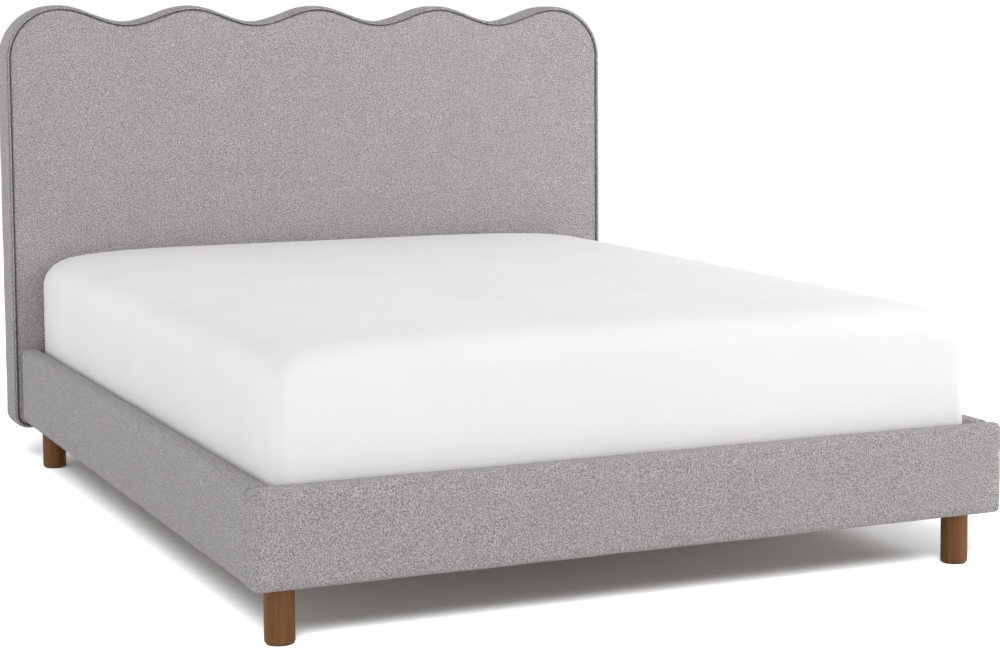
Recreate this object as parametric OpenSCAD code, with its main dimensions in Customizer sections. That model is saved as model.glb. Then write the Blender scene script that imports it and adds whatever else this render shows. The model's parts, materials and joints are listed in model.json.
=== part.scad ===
// Upholstered platform bed with a wavy headboard, padded rails and round wooden legs.
// The origin is on the floor under the middle of the bed. +X is the right side of the bed,
// +Y points to the headboard and +Z is up. All sizes are in millimetres.

/* [Mattress] */
// Width of the mattress
mattress_w = 1524; // [1372:1:1676]
// Length of the mattress
mattress_l = 2032; // [1905:1:2134]
// Thickness of the mattress in its fitted sheet, at the middle
mattress_h = 312; // [240:1:340]
// How much lower the top of the mattress is along its two long edges
mattress_crown = 28; // [0:1:35]
// Gap between the sheet and each side rail
side_gap = 4.5; // [3:0.5:10]
// Gap between the sheet and the foot rail
foot_gap = 4.5; // [3:0.5:10]
// Gap between the sheet and the headboard
head_gap = 2.5; // [2:0.5:10]

/* [Rails] */
// Height of the underside of the rails above the floor
rail_z = 115; // [90:1:180]
// Height of a rail
rail_h = 193; // [180:1:230]
// Thickness of a rail with its padding
rail_t = 50; // [46:1:60]
// Radius of the padded edges of a rail
rail_r = 18; // [10:1:20]

/* [Headboard] */
// Height of the seam at the wave crests above the floor
crest_z = 1189; // [1000:1:1400]
// Height of the bottom seam above the floor
headboard_z = 105; // [80:1:112]
// Thickness of the headboard
headboard_t = 112; // [100:1:140]
// How far the seam stands outside the side rails
headboard_lip = 11; // [6:1:40]
// Number of wave crests
crest_count = 5; // [3:1:7]
// Height from trough to crest
wave_depth = 42; // [10:1:45]
// Radius of the top corners
corner_r = 134; // [110:1:160]
// Radius of the bottom corners
foot_corner_r = 28; // [20:1:60]
// How far the boxing band stands outside the seam
band_crown = 8; // [6:0.5:12]

/* [Legs] */
// Diameter of a leg
leg_d = 58; // [45:1:60]
// Distance from the rail's inner face in to the leg centre
leg_side_in = 22; // [22:1:45]
// Distance from the foot rail's inner face back to the front leg centres
leg_front_in = 30; // [24:1:45]
// Distance from the headboard forward to the rear leg centres
leg_rear_in = 44; // [32:1:50]

/* [Slat deck] */
// Height of the top of the slats above the floor
deck_z = 256; // [250:1:262]
// Number of slats
slat_count = 12; // [10:1:12]
// Width of a slat
slat_w = 89; // [60:1:100]
// Thickness of a slat
slat_t = 19; // [16:1:22]
// Distance of each support leg from the middle of the bed
support_y = 350; // [250:1:450]

/* [Hidden] */
cloth_t = 2;
sheet_t = 1.5;
hem_w = 60;
mattress_plan_r = 32;
mattress_top_r = 66;
mattress_low_r = 30;
mattress_end_crown = 6;
crown_power = 6;
crown_steps = 12;
arc_steps = 6;
wave_steps = 16;
tiny = 0.01;

// Places along X and Y that everything else is set from
inner_x = mattress_w / 2 + sheet_t + side_gap;
outer_x = inner_x + rail_t;
bed_l = rail_t + foot_gap + mattress_l + 2 * sheet_t + head_gap + headboard_t;
foot_y = -bed_l / 2;
inner_y = foot_y + rail_t;
head_y = bed_l / 2 - headboard_t;
back_y = bed_l / 2;

// Headboard layers, from the face towards the back
face_foam_t = 20;
panel_t = 12;
panel_y = head_y + cloth_t + face_foam_t;
frame_y = panel_y + panel_t;
core_inset = 8;
half_w = outer_x + headboard_lip;
crest_x = half_w - corner_r;
wave_length = 2 * crest_x / (crest_count - 1);
piping_d = 5;
frame_w = 60;

// Rail layers
board_t = 24;
board_top_gap = 12;
board_foot_gap = 8;

// Hardware
bolt_d = 7.6;
bolt_hole_d = 8.4;
bolt_l = 40;
bolt_head_d = 14;
bolt_head_t = 4.5;
bolt_z = 156;
bolt_steps = [34, 72];
tee_d = 22;
tee_t = 1.6;
tee_barrel_d = 10;
tee_barrel_l = 9;
bracket_t = 4;
bracket_l = 92;
bracket_h = 72;
glide_t = 4;
glide_d = 50;
stud_top = 18;
stud_depth = 40;
screw_d = 4;
screw_head_d = 8;
screw_head_t = 2.5;
screw_l = 30;
ledger_screw_l = 50;
ledger_w = 30;
ledger_h = 40;
ledger_screw_count = 8;

// Centre beam and its supports
slat_z = deck_z - slat_t;
beam_w = 38;
beam_h = 60;
beam_z = slat_z - beam_h;
hanger_t = 3;
hanger_w = 90;
hanger_l = 48;
hanger_arm_h = 40;
support_d = 32;
support_wall = 2;
support_plate_l = 110;
insert_flange_t = 2;
foot_disc_t = 8;
foot_disc_d = 40;
stem_d = 10;
stem_l = 50;
stem_bore_d = 10.16;
strap_x = 500;
strap_w = 40;
strap_t = 1.5;

slat_span = head_y - inner_y - 20 - slat_w;
slat_names = [for (i = [1:slat_count]) str("slat_", i)];

// ---------- Outlines ----------

function arc_point(x, y, r, a) = [x + r * cos(a), y + r * sin(a)];

// Height and slope of the wave, where t is the distance from the right-hand crest
function wave_height(t) = crest_z - wave_depth / 2 * (1 - cos(360 * t / wave_length));
function wave_slope(t) = wave_depth / 2 * 2 * PI / wave_length * sin(360 * t / wave_length);

// A point of the wave, moved outward along its normal
function wave_point(t, grow) =
    let (slope = wave_slope(t), size = sqrt(1 + slope * slope))
    [crest_x - t - grow * slope / size, wave_height(t) + grow / size];

// Headboard outline on the XZ plane, grown outward from the seam
function headboard_outline(grow) =
    let (
        low_x = half_w - foot_corner_r,
        low_z = headboard_z + foot_corner_r,
        high_z = crest_z - corner_r,
        wave_total = wave_steps * (crest_count - 1)
    )
    concat(
        [for (i = [0:arc_steps]) arc_point(low_x, low_z, foot_corner_r + grow, -90 + 90 * i / arc_steps)],
        [for (i = [0:2 * arc_steps]) arc_point(crest_x, high_z, corner_r + grow, 45 * i / arc_steps)],
        [for (i = [1:wave_total - 1]) wave_point(2 * crest_x * i / wave_total, grow)],
        [for (i = [0:2 * arc_steps]) arc_point(-crest_x, high_z, corner_r + grow, 90 + 45 * i / arc_steps)],
        [for (i = [0:arc_steps]) arc_point(-low_x, low_z, foot_corner_r + grow, 180 + 90 * i / arc_steps)]
    );

// Rectangle with round corners, centred on the origin
function round_rect(w, h, r) = [
    for (corner = [[1, 1, 0], [-1, 1, 90], [-1, -1, 180], [1, -1, 270]])
    for (i = [0:arc_steps])
    arc_point(corner[0] * (w / 2 - r), corner[1] * (h / 2 - r), r, corner[2] + 90 * i / arc_steps)
];

// ---------- Shared shapes ----------

// Extrude an outline on the XZ plane from y0 to y1
module along_y(y0, y1) {
    translate([0, y1, 0]) rotate([90, 0, 0]) linear_extrude(y1 - y0) children();
}

// Extrude an outline on the YZ plane from x0 to x1
module along_x(x0, x1) {
    translate([x0, 0, 0]) rotate([90, 0, 90]) linear_extrude(x1 - x0) children();
}

module headboard_layer(grow, y0, y1) {
    along_y(y0, y1) polygon(headboard_outline(grow));
}

module headboard_ring(outer, inner, y0, y1) {
    along_y(y0, y1) difference() {
        polygon(headboard_outline(outer));
        polygon(headboard_outline(inner));
    }
}

// Bolt along +Z, with its head below z = 0
module bolt() {
    difference() {
        union() {
            translate([0, 0, -bolt_head_t])
                cylinder(h = bolt_head_t, d1 = bolt_head_d - 4, d2 = bolt_head_d, $fn = 32);
            cylinder(h = bolt_l, d = bolt_d, $fn = 32);
        }
        translate([0, 0, -bolt_head_t - 1]) cylinder(h = 4, d = 5.8, $fn = 6);
    }
}

// Tee nut that faces +Z from the far side of a board at z = 0
module tee_nut() {
    difference() {
        union() {
            cylinder(h = tee_t, d = tee_d, $fn = 32);
            translate([0, 0, -tee_barrel_l]) cylinder(h = tee_barrel_l, d = tee_barrel_d, $fn = 32);
        }
        translate([0, 0, -tee_barrel_l - 1])
            cylinder(h = tee_barrel_l + tee_t + 2, d = bolt_d + 0.4, $fn = 32);
    }
}

// Room for a bolt and its tee nut: the nut seats at z = board_z
module bolt_room(board_z) {
    translate([0, 0, -1]) cylinder(h = board_z + 1, d = bolt_hole_d, $fn = 32);
    translate([0, 0, board_z - tee_barrel_l - 0.2])
        cylinder(h = tee_barrel_l + 1, d = tee_barrel_d + 0.2, $fn = 32);
    translate([0, 0, board_z]) cylinder(h = bolt_l - board_z + 2, d = tee_d + 2, $fn = 32);
}

// Countersunk screw along +Z, with the top of its head at z = 0
module screw(length) {
    difference() {
        union() {
            cylinder(h = screw_head_t, d1 = screw_head_d, d2 = screw_d, $fn = 24);
            translate([0, 0, screw_head_t - tiny])
                cylinder(h = length - screw_head_t + tiny, d = screw_d, $fn = 24);
        }
        translate([0, 0, -1]) cylinder(h = 2.6, d = 3, $fn = 4);
    }
}

module screw_room(length) {
    translate([0, 0, -1]) cylinder(h = 1.2, d = screw_head_d + 0.4, $fn = 24);
    translate([0, 0, 0.1]) cylinder(h = screw_head_t, d1 = screw_head_d + 0.4, d2 = screw_d + 0.2, $fn = 24);
    translate([0, 0, screw_head_t]) cylinder(h = length - screw_head_t + 1, d = screw_d + 0.2, $fn = 24);
}

// ---------- Places of the fasteners ----------

// Side bolts of one side, where side is -1 or 1: they run outward along X
module at_side_bolts(side) {
    for (step = bolt_steps, y = [inner_y + step, head_y - step])
        translate([side * (inner_x - bracket_t), y, bolt_z]) rotate([0, side * 90, 0]) children();
}

// Bolts into the foot rail run towards -Y
module at_foot_bolts() {
    for (side = [-1, 1], step = bolt_steps)
        translate([side * (inner_x - step), inner_y + bracket_t, bolt_z]) rotate([90, 0, 0]) children();
}

// Bolts into the headboard run towards +Y
module at_head_bolts() {
    for (side = [-1, 1], step = bolt_steps)
        translate([side * (inner_x - step), head_y - bracket_t, bolt_z]) rotate([-90, 0, 0]) children();
}

// Screws that hold the ledger of one side to its rail
module at_ledger_screws(side) {
    first_y = inner_y + 130;
    pitch = (head_y - inner_y - 260) / (ledger_screw_count - 1);
    for (i = [0:ledger_screw_count - 1])
        translate([side * (inner_x - ledger_w), first_y + i * pitch, slat_z - ledger_h / 2])
            rotate([0, side * 90, 0]) children();
}

function slat_y(i) = inner_y + 10 + slat_w / 2 + slat_span * (i - 1) / (slat_count - 1);

// Screws down through the ends of one slat
module at_slat_screws(i) {
    for (side = [-1, 1])
        translate([side * (inner_x - ledger_w / 2), slat_y(i), deck_z - 0.5]) rotate([180, 0, 0]) children();
}

// Screws through the plate of a beam hanger: end is -1 at the foot and 1 at the head
module at_hanger_screws(end) {
    face_y = end < 0 ? inner_y + hanger_t : head_y - hanger_t;
    for (side = [-1, 1], z = [beam_z + 12, beam_z + 42])
        translate([side * (hanger_w / 2 - 10), face_y, z]) rotate([-end * 90, 0, 0]) children();
}

// Screws up through the plate of a support leg into the beam
module at_support_screws(y) {
    for (along = [-1, 1], across = [-1, 1])
        translate([across * 11, y + along * (support_plate_l / 2 - 12), beam_z - hanger_t]) children();
}

// Centre of a leg, where side is -1 or 1 and end is -1 at the foot and 1 at the head
function leg_x(side) = side * (inner_x - leg_side_in);
function leg_y(end) = end < 0 ? inner_y + leg_front_in : head_y - leg_rear_in;

module at_leg(side, end) {
    translate([leg_x(side), leg_y(end), 0]) children();
}

module at_legs() {
    for (side = [-1, 1], end = [-1, 1])
        at_leg(side, end) children();
}

// ---------- Headboard ----------

// Hardwood blocks glued to the panel, so that brackets bear on wood and not on foam
module headboard_blocks() {
    for (side = [-1, 1])
        translate([side * (inner_x - bracket_l / 2) - bracket_l / 2, head_y + cloth_t, rail_z])
            cube([bracket_l, face_foam_t + tiny, bracket_h + 5]);
    translate([-hanger_w / 2, head_y + cloth_t, beam_z - 5])
        cube([hanger_w, face_foam_t + tiny, beam_h + 5]);
}

module headboard_panel() {
    color("burlywood") difference() {
        union() {
            headboard_layer(-core_inset, panel_y, frame_y);
            headboard_blocks();
        }
        at_head_bolts() bolt_room(bracket_t + cloth_t + face_foam_t + panel_t);
        at_hanger_screws(1) screw_room(screw_l);
    }
}

// Windows between the outer members of the frame and its middle upright
module frame_windows() {
    inner_w = half_w - core_inset - frame_w;
    low_z = headboard_z + core_inset + frame_w;
    high_z = crest_z - corner_r;
    for (side = [-1, 1])
        translate([side > 0 ? frame_w / 2 : -inner_w, frame_y - 1, low_z])
            cube([inner_w - frame_w / 2, headboard_t, high_z - low_z]);
}

module headboard_frame() {
    color("wheat") difference() {
        headboard_layer(-core_inset, frame_y, back_y - cloth_t);
        frame_windows();
        at_head_bolts() translate([0, 0, bolt_l - 4]) cylinder(h = 20, d = tee_d + 2, $fn = 32);
    }
}

module headboard_face_foam() {
    color("khaki") difference() {
        headboard_layer(-piping_d / 2, head_y + cloth_t, panel_y);
        headboard_blocks();
    }
}

// Foam round the edge, from behind the piping to the back
module headboard_edge_foam() {
    color("khaki") {
        headboard_ring(band_crown - cloth_t, -piping_d / 2, head_y + cloth_t + 1, panel_y);
        headboard_ring(band_crown - cloth_t, -core_inset, panel_y, back_y - cloth_t);
    }
}

module headboard_face_cover() {
    color("silver") difference() {
        headboard_layer(-piping_d / 2, head_y, head_y + cloth_t);
        at_head_bolts() bolt_room(bolt_l);
        at_hanger_screws(1) screw_room(screw_l);
    }
}

// Strip of fabric round the edge, with a lip that reaches in to the piping
module headboard_boxing_band() {
    color("darkgray") {
        headboard_ring(band_crown, piping_d / 2, head_y + 1, head_y + cloth_t + 1);
        headboard_ring(band_crown, band_crown - cloth_t, head_y + cloth_t + 1, back_y);
    }
}

module headboard_piping() {
    color("dimgray") headboard_ring(piping_d / 2, -piping_d / 2, head_y - 2, head_y + cloth_t + 1);
}

module headboard_dust_cover() {
    color("black") headboard_layer(band_crown - cloth_t, back_y - cloth_t, back_y);
}

// ---------- Rails ----------

// Cross-section of a rail, centred on the origin, with its skin taken off by inset
module rail_section(inset) {
    polygon(round_rect(rail_t - 2 * inset, rail_h - 2 * inset, rail_r - inset));
}

module side_rail_body(side, inset) {
    translate([side * (inner_x + rail_t / 2), 0, rail_z + rail_h / 2])
        along_y(inner_y + inset, head_y - inset) rail_section(inset);
}

// Foot rail: the section along X, with round corners at its front when seen from above
module foot_rail_body(inset) {
    intersection() {
        translate([0, foot_y + rail_t / 2, rail_z + rail_h / 2])
            along_x(-outer_x + inset, outer_x - inset) rail_section(inset);
        translate([0, foot_y + rail_t, rail_z]) linear_extrude(rail_h)
            polygon(round_rect(2 * (outer_x - inset), 2 * (rail_t - inset), rail_r - inset));
    }
}

// Boards of the rails, with their edges eased where the cover bends round them
module side_board(side) {
    board_x = side * (inner_x + cloth_t + board_t / 2);
    intersection() {
        translate([board_x - board_t / 2, inner_y + cloth_t, rail_z + board_foot_gap])
            cube([board_t, head_y - inner_y - 2 * cloth_t, rail_h - board_top_gap - board_foot_gap]);
        side_rail_body(side, cloth_t);
    }
}

module foot_board() {
    intersection() {
        translate([-outer_x + 14, inner_y - cloth_t - board_t, rail_z + board_foot_gap])
            cube([2 * (outer_x - 14), board_t, rail_h - board_top_gap - board_foot_gap]);
        foot_rail_body(cloth_t);
    }
}

// Room for everything that is fastened to a side rail
module side_rail_holes(side) {
    at_side_bolts(side) bolt_room(bracket_t + cloth_t + board_t);
    at_ledger_screws(side) screw_room(ledger_screw_l);
}

module foot_rail_holes() {
    at_foot_bolts() bolt_room(bracket_t + cloth_t + board_t);
    at_hanger_screws(-1) screw_room(screw_l);
}

module side_rail_board(side) {
    color("burlywood") difference() {
        side_board(side);
        side_rail_holes(side);
    }
}

module side_rail_foam(side) {
    color("khaki") difference() {
        side_rail_body(side, cloth_t);
        side_board(side);
        side_rail_holes(side);
    }
}

module side_rail_cover(side) {
    color("silver") difference() {
        side_rail_body(side, 0);
        side_rail_body(side, cloth_t);
        side_rail_holes(side);
    }
}

module left_rail_board() side_rail_board(-1);
module left_rail_foam() side_rail_foam(-1);
module left_rail_cover() side_rail_cover(-1);
module right_rail_board() side_rail_board(1);
module right_rail_foam() side_rail_foam(1);
module right_rail_cover() side_rail_cover(1);

module foot_rail_board() {
    color("burlywood") difference() {
        foot_board();
        foot_rail_holes();
    }
}

module foot_rail_foam() {
    color("khaki") difference() {
        foot_rail_body(cloth_t);
        foot_board();
        foot_rail_holes();
    }
}

module foot_rail_cover() {
    color("silver") difference() {
        foot_rail_body(0);
        foot_rail_body(cloth_t);
        foot_rail_holes();
    }
}

module slat_ledger(side) {
    color("wheat") difference() {
        translate([side * (inner_x - ledger_w / 2) - ledger_w / 2, inner_y + 4, slat_z - ledger_h])
            cube([ledger_w, head_y - inner_y - 8, ledger_h]);
        at_ledger_screws(side) screw_room(ledger_screw_l);
        for (i = [1:slat_count])
            at_slat_screws(i) screw_room(screw_l);
    }
}

module left_slat_ledger() slat_ledger(-1);
module right_slat_ledger() slat_ledger(1);

// ---------- Corner brackets and legs ----------

// Folded steel bracket: two flanges against the rails and a plate that the leg bolts to
module corner_bracket(side, end) {
    corner_y = end < 0 ? inner_y : head_y;
    color("dimgray") difference() {
        translate([side * inner_x, corner_y, rail_z])
        mirror([side > 0 ? 1 : 0, 0, 0])
        mirror([0, end > 0 ? 1 : 0, 0]) {
            cube([bracket_t, bracket_l, bracket_h]);
            cube([bracket_l, bracket_t, bracket_h]);
            linear_extrude(bracket_t)
                polygon([[0, 0], [bracket_l, 0], [bracket_l, 30], [30, bracket_l], [0, bracket_l]]);
        }
        at_side_bolts(side) translate([0, 0, -1]) cylinder(h = 10, d = bolt_hole_d, $fn = 32);
        at_foot_bolts() translate([0, 0, -1]) cylinder(h = 10, d = bolt_hole_d, $fn = 32);
        at_head_bolts() translate([0, 0, -1]) cylinder(h = 10, d = bolt_hole_d, $fn = 32);
        at_leg(side, end) cylinder(h = rail_z + 10, d = bolt_hole_d, $fn = 32);
    }
}

module front_left_bracket() corner_bracket(-1, -1);
module front_right_bracket() corner_bracket(1, -1);
module rear_left_bracket() corner_bracket(-1, 1);
module rear_right_bracket() corner_bracket(1, 1);

// Turned leg with an eased bottom edge, bored for its stud
module leg(side, end) {
    r = leg_d / 2;
    color("saddlebrown") at_leg(side, end) difference() {
        rotate_extrude($fn = 96)
            polygon([[0, glide_t], [r - 2.5, glide_t], [r - 0.8, glide_t + 0.8], [r, glide_t + 2.5],
                     [r, rail_z], [0, rail_z]]);
        translate([0, 0, rail_z - stud_depth]) cylinder(h = stud_depth + 1, d = bolt_d + 0.2, $fn = 32);
    }
}

module front_left_leg() leg(-1, -1);
module front_right_leg() leg(1, -1);
module rear_left_leg() leg(-1, 1);
module rear_right_leg() leg(1, 1);

module glide(side, end) {
    color("tan") at_leg(side, end) cylinder(h = glide_t, d = glide_d, $fn = 48);
}

module front_left_glide() glide(-1, -1);
module front_right_glide() glide(1, -1);
module rear_left_glide() glide(-1, 1);
module rear_right_glide() glide(1, 1);

// Double-ended studs, screwed into the legs and up through the bracket plates
module leg_studs() {
    color("lightsteelblue") at_legs()
        translate([0, 0, rail_z - stud_depth]) cylinder(h = stud_depth + stud_top, d = bolt_d, $fn = 32);
}

module leg_nuts() {
    color("lightsteelblue") at_legs() translate([0, 0, rail_z + bracket_t]) difference() {
        union() {
            cylinder(h = 2, d = 18, $fn = 32);
            cylinder(h = 8, d = 15, $fn = 6);
        }
        translate([0, 0, -1]) cylinder(h = 10, d = bolt_d + 0.4, $fn = 32);
    }
}

module rail_bolts() {
    color("lightsteelblue") {
        at_side_bolts(-1) bolt();
        at_side_bolts(1) bolt();
        at_foot_bolts() bolt();
        at_head_bolts() bolt();
    }
}

module tee_nuts() {
    rail_seat = bracket_t + cloth_t + board_t;
    color("lightsteelblue") {
        at_side_bolts(-1) translate([0, 0, rail_seat]) tee_nut();
        at_side_bolts(1) translate([0, 0, rail_seat]) tee_nut();
        at_foot_bolts() translate([0, 0, rail_seat]) tee_nut();
        at_head_bolts() translate([0, 0, bracket_t + cloth_t + face_foam_t + panel_t]) tee_nut();
    }
}

// ---------- Centre support ----------

module centre_beam() {
    color("wheat") difference() {
        translate([-beam_w / 2, inner_y + hanger_t + 1, beam_z])
            cube([beam_w, head_y - inner_y - 2 * hanger_t - 2, beam_h]);
        at_support_screws(-support_y) screw_room(screw_l);
        at_support_screws(support_y) screw_room(screw_l);
    }
}

// Steel hanger: a plate against the rail and a U that the end of the beam drops into
module beam_hanger(end) {
    face_y = end < 0 ? inner_y : head_y;
    color("dimgray") difference() {
        translate([0, face_y, 0]) mirror([0, end > 0 ? 1 : 0, 0]) {
            translate([-hanger_w / 2, 0, beam_z - hanger_t]) cube([hanger_w, hanger_t, beam_h - 2]);
            translate([-beam_w / 2 - hanger_t, 0, beam_z - hanger_t])
                cube([beam_w + 2 * hanger_t, hanger_l, hanger_t]);
            for (side = [-1, 1])
                translate([side * (beam_w + hanger_t) / 2 - hanger_t / 2, 0, beam_z - hanger_t])
                    cube([hanger_t, hanger_l, hanger_arm_h]);
        }
        at_hanger_screws(end) screw_room(screw_l);
    }
}

module foot_beam_hanger() beam_hanger(-1);
module head_beam_hanger() beam_hanger(1);

// Steel tube with a plate welded on top, screwed to the underside of the beam
module support_leg(y) {
    tube_z = foot_disc_t + insert_flange_t;
    color("dimgray") difference() {
        union() {
            translate([0, y, tube_z])
                cylinder(h = beam_z - hanger_t - tube_z + tiny, d = support_d, $fn = 64);
            translate([-beam_w / 2, y - support_plate_l / 2, beam_z - hanger_t])
                cube([beam_w, support_plate_l, hanger_t]);
        }
        translate([0, y, tube_z - 1])
            cylinder(h = beam_z - hanger_t - tube_z + 1, d = support_d - 2 * support_wall, $fn = 64);
        at_support_screws(y) screw_room(screw_l);
    }
}

module front_support_leg() support_leg(-support_y);
module rear_support_leg() support_leg(support_y);

// Bushes pressed into the tubes, bored for the stems of the levelling feet
module support_leg_inserts() {
    color("black") for (y = [-support_y, support_y])
        translate([0, y, foot_disc_t]) difference() {
            union() {
                cylinder(h = insert_flange_t, d = support_d, $fn = 64);
                cylinder(h = 26, d = support_d - 2 * support_wall, $fn = 64);
            }
            translate([0, 0, -1]) cylinder(h = 30, d = stem_bore_d, $fn = 48);
        }
}

module levelling_foot(y) {
    r = foot_disc_d / 2;
    color("black") translate([0, y, 0]) {
        rotate_extrude($fn = 64)
            polygon([[0, 0], [r - 1.5, 0], [r, 1.5], [r, 4], [r - 7, foot_disc_t], [0, foot_disc_t]]);
        translate([0, 0, foot_disc_t - tiny]) cylinder(h = stem_l + tiny, d = stem_d, $fn = 48);
    }
}

module front_levelling_foot() levelling_foot(-support_y);
module rear_levelling_foot() levelling_foot(support_y);

// ---------- Slat deck ----------

module slat(i) {
    color("wheat") difference() {
        translate([-inner_x + 6, slat_y(i) - slat_w / 2, slat_z]) cube([2 * inner_x - 12, slat_w, slat_t]);
        at_slat_screws(i) screw_room(screw_l);
    }
}

// Two straps stapled under the slats, which keep them spaced
module slat_webbing() {
    color("gainsboro") for (side = [-1, 1])
        translate([side * strap_x - strap_w / 2, slat_y(1) - slat_w / 2, slat_z - strap_t])
            cube([strap_w, slat_span + slat_w, strap_t]);
}

module wood_screws() {
    color("lightsteelblue") {
        for (i = [1:slat_count])
            at_slat_screws(i) screw(screw_l);
        at_hanger_screws(-1) screw(screw_l);
        at_hanger_screws(1) screw(screw_l);
        at_support_screws(-support_y) screw(screw_l);
        at_support_screws(support_y) screw(screw_l);
    }
}

module ledger_screws() {
    color("lightsteelblue") {
        at_ledger_screws(-1) screw(ledger_screw_l);
        at_ledger_screws(1) screw(ledger_screw_l);
    }
}

// ---------- Mattress ----------

// How far the top has fallen at a distance x from the middle
function crown_fall(x, w, crown) = crown * pow(abs(2 * x / w), crown_power);

// Cross-section of the mattress, centred on the origin, with a crowned top and round edges
function crowned_rect(w, h, crown, skin) =
    let (top_r = mattress_top_r + skin, low_r = mattress_low_r + skin, flat_x = w / 2 - top_r)
    concat(
        [for (i = [0:arc_steps]) arc_point(w / 2 - low_r, low_r - h / 2, low_r, -90 + 90 * i / arc_steps)],
        [for (i = [0:arc_steps]) let (p = arc_point(flat_x, h / 2 - top_r, top_r, 90 * i / arc_steps))
            [p[0], p[1] - crown_fall(p[0], w, crown)]],
        [for (i = [1:crown_steps - 1]) let (x = flat_x * (1 - 2 * i / crown_steps))
            [x, h / 2 - crown_fall(x, w, crown)]],
        [for (i = [0:arc_steps]) let (p = arc_point(-flat_x, h / 2 - top_r, top_r, 90 + 90 * i / arc_steps))
            [p[0], p[1] - crown_fall(p[0], w, crown)]],
        [for (i = [0:arc_steps]) arc_point(low_r - w / 2, low_r - h / 2, low_r, 180 + 90 * i / arc_steps)]
    );

// Crowned block: the mattress when skin is 0, and the outside of the sheet when it is not
module mattress_block(skin) {
    w = mattress_w + 2 * skin;
    l = mattress_l + 2 * skin;
    h = mattress_h - 2 * sheet_t + 2 * skin;
    mid_y = head_y - head_gap - sheet_t - mattress_l / 2;
    translate([0, mid_y, deck_z + mattress_h / 2]) intersection() {
        translate([0, 0, -h / 2]) linear_extrude(h) polygon(round_rect(w, l, mattress_plan_r + skin));
        along_y(-l / 2, l / 2) polygon(crowned_rect(w, h, mattress_crown, skin));
        along_x(-w / 2, w / 2) polygon(crowned_rect(l, h, mattress_end_crown, skin));
    }
}

module mattress() {
    color("white") mattress_block(0);
}

// Sheet over the top and sides, with its hem turned under the mattress
module fitted_sheet() {
    color("white") difference() {
        mattress_block(sheet_t);
        mattress_block(0);
        translate([hem_w - mattress_w / 2, inner_y + foot_gap + hem_w, deck_z - 1])
            cube([mattress_w - 2 * hem_w, mattress_l - 2 * hem_w, 10]);
    }
}

// ---------- What is drawn ----------

headboard_panel();
headboard_frame();
headboard_face_foam();
headboard_edge_foam();
headboard_face_cover();
headboard_boxing_band();
headboard_piping();
headboard_dust_cover();
left_rail_board();
left_rail_foam();
left_rail_cover();
right_rail_board();
right_rail_foam();
right_rail_cover();
foot_rail_board();
foot_rail_foam();
foot_rail_cover();
left_slat_ledger();
right_slat_ledger();
front_left_bracket();
front_right_bracket();
rear_left_bracket();
rear_right_bracket();
front_left_leg();
front_right_leg();
rear_left_leg();
rear_right_leg();
front_left_glide();
front_right_glide();
rear_left_glide();
rear_right_glide();
leg_studs();
leg_nuts();
rail_bolts();
tee_nuts();
centre_beam();
foot_beam_hanger();
head_beam_hanger();
front_support_leg();
rear_support_leg();
support_leg_inserts();
front_levelling_foot();
rear_levelling_foot();
for (i = [1:slat_count])
    slat(i);
slat_webbing();
wood_screws();
ledger_screws();
mattress();
fitted_sheet();
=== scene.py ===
"""Looks for the upholstered platform bed: fabric, padding, timber, metal, light and camera."""
import json
import math

import bpy
import numpy as np
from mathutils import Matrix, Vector
from mathutils.kdtree import KDTree


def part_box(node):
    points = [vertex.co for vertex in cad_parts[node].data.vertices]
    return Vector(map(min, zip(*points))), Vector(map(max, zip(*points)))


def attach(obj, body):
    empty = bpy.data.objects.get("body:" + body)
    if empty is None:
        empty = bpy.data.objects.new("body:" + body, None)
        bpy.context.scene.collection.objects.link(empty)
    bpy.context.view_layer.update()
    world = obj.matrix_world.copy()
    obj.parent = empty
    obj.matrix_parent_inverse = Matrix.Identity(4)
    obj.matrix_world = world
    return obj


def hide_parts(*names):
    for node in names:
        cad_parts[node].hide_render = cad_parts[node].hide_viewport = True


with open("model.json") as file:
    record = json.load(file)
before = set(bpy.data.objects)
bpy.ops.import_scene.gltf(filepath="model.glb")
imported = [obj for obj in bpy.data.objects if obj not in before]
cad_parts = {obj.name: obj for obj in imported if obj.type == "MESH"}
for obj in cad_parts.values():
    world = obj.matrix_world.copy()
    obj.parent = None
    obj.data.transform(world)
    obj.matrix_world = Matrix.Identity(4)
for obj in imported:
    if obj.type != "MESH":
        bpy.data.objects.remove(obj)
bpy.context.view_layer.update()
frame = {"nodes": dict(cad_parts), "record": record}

NODES = frame["nodes"]
BED = "bed_frame"
MM = 0.001
STILL = 1e-9  # a point that moved less than this, in metres, hasn't moved

# ---------------------------------------------------------------- plain mesh helpers


def span(lo, hi, step):
    """Evenly spaced values from lo to hi, no further apart than step."""
    return np.linspace(lo, hi, max(2, int(math.ceil(abs(hi - lo) / step)) + 1))


def new_object(name, verts, faces, material=None, smooth=True):
    mesh = bpy.data.meshes.new(name)
    mesh.from_pydata([tuple(v) for v in np.asarray(verts, float)], [], [list(f) for f in faces])
    mesh.validate(clean_customdata=False)
    mesh.update()
    if smooth:
        mesh.polygons.foreach_set("use_smooth", np.ones(len(mesh.polygons), bool))
    obj = bpy.data.objects.new(name, mesh)
    bpy.context.scene.collection.objects.link(obj)
    if material is not None:
        mesh.materials.append(material)
    return obj


def coords(obj):
    out = np.empty(len(obj.data.vertices) * 3, np.float32)
    obj.data.vertices.foreach_get("co", out)
    return out.reshape(-1, 3).astype(float)


def set_coords(obj, co):
    obj.data.vertices.foreach_set("co", np.asarray(co, np.float32).ravel())
    obj.data.update()


def normals(obj):
    out = np.empty(len(obj.data.vertices) * 3, np.float32)
    obj.data.vertex_normals.foreach_get("vector", out)
    return out.reshape(-1, 3).astype(float)


def evaluated_mesh(obj):
    bpy.context.view_layer.update()
    evaluated = obj.evaluated_get(bpy.context.evaluated_depsgraph_get())
    return bpy.data.meshes.new_from_object(evaluated)


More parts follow.
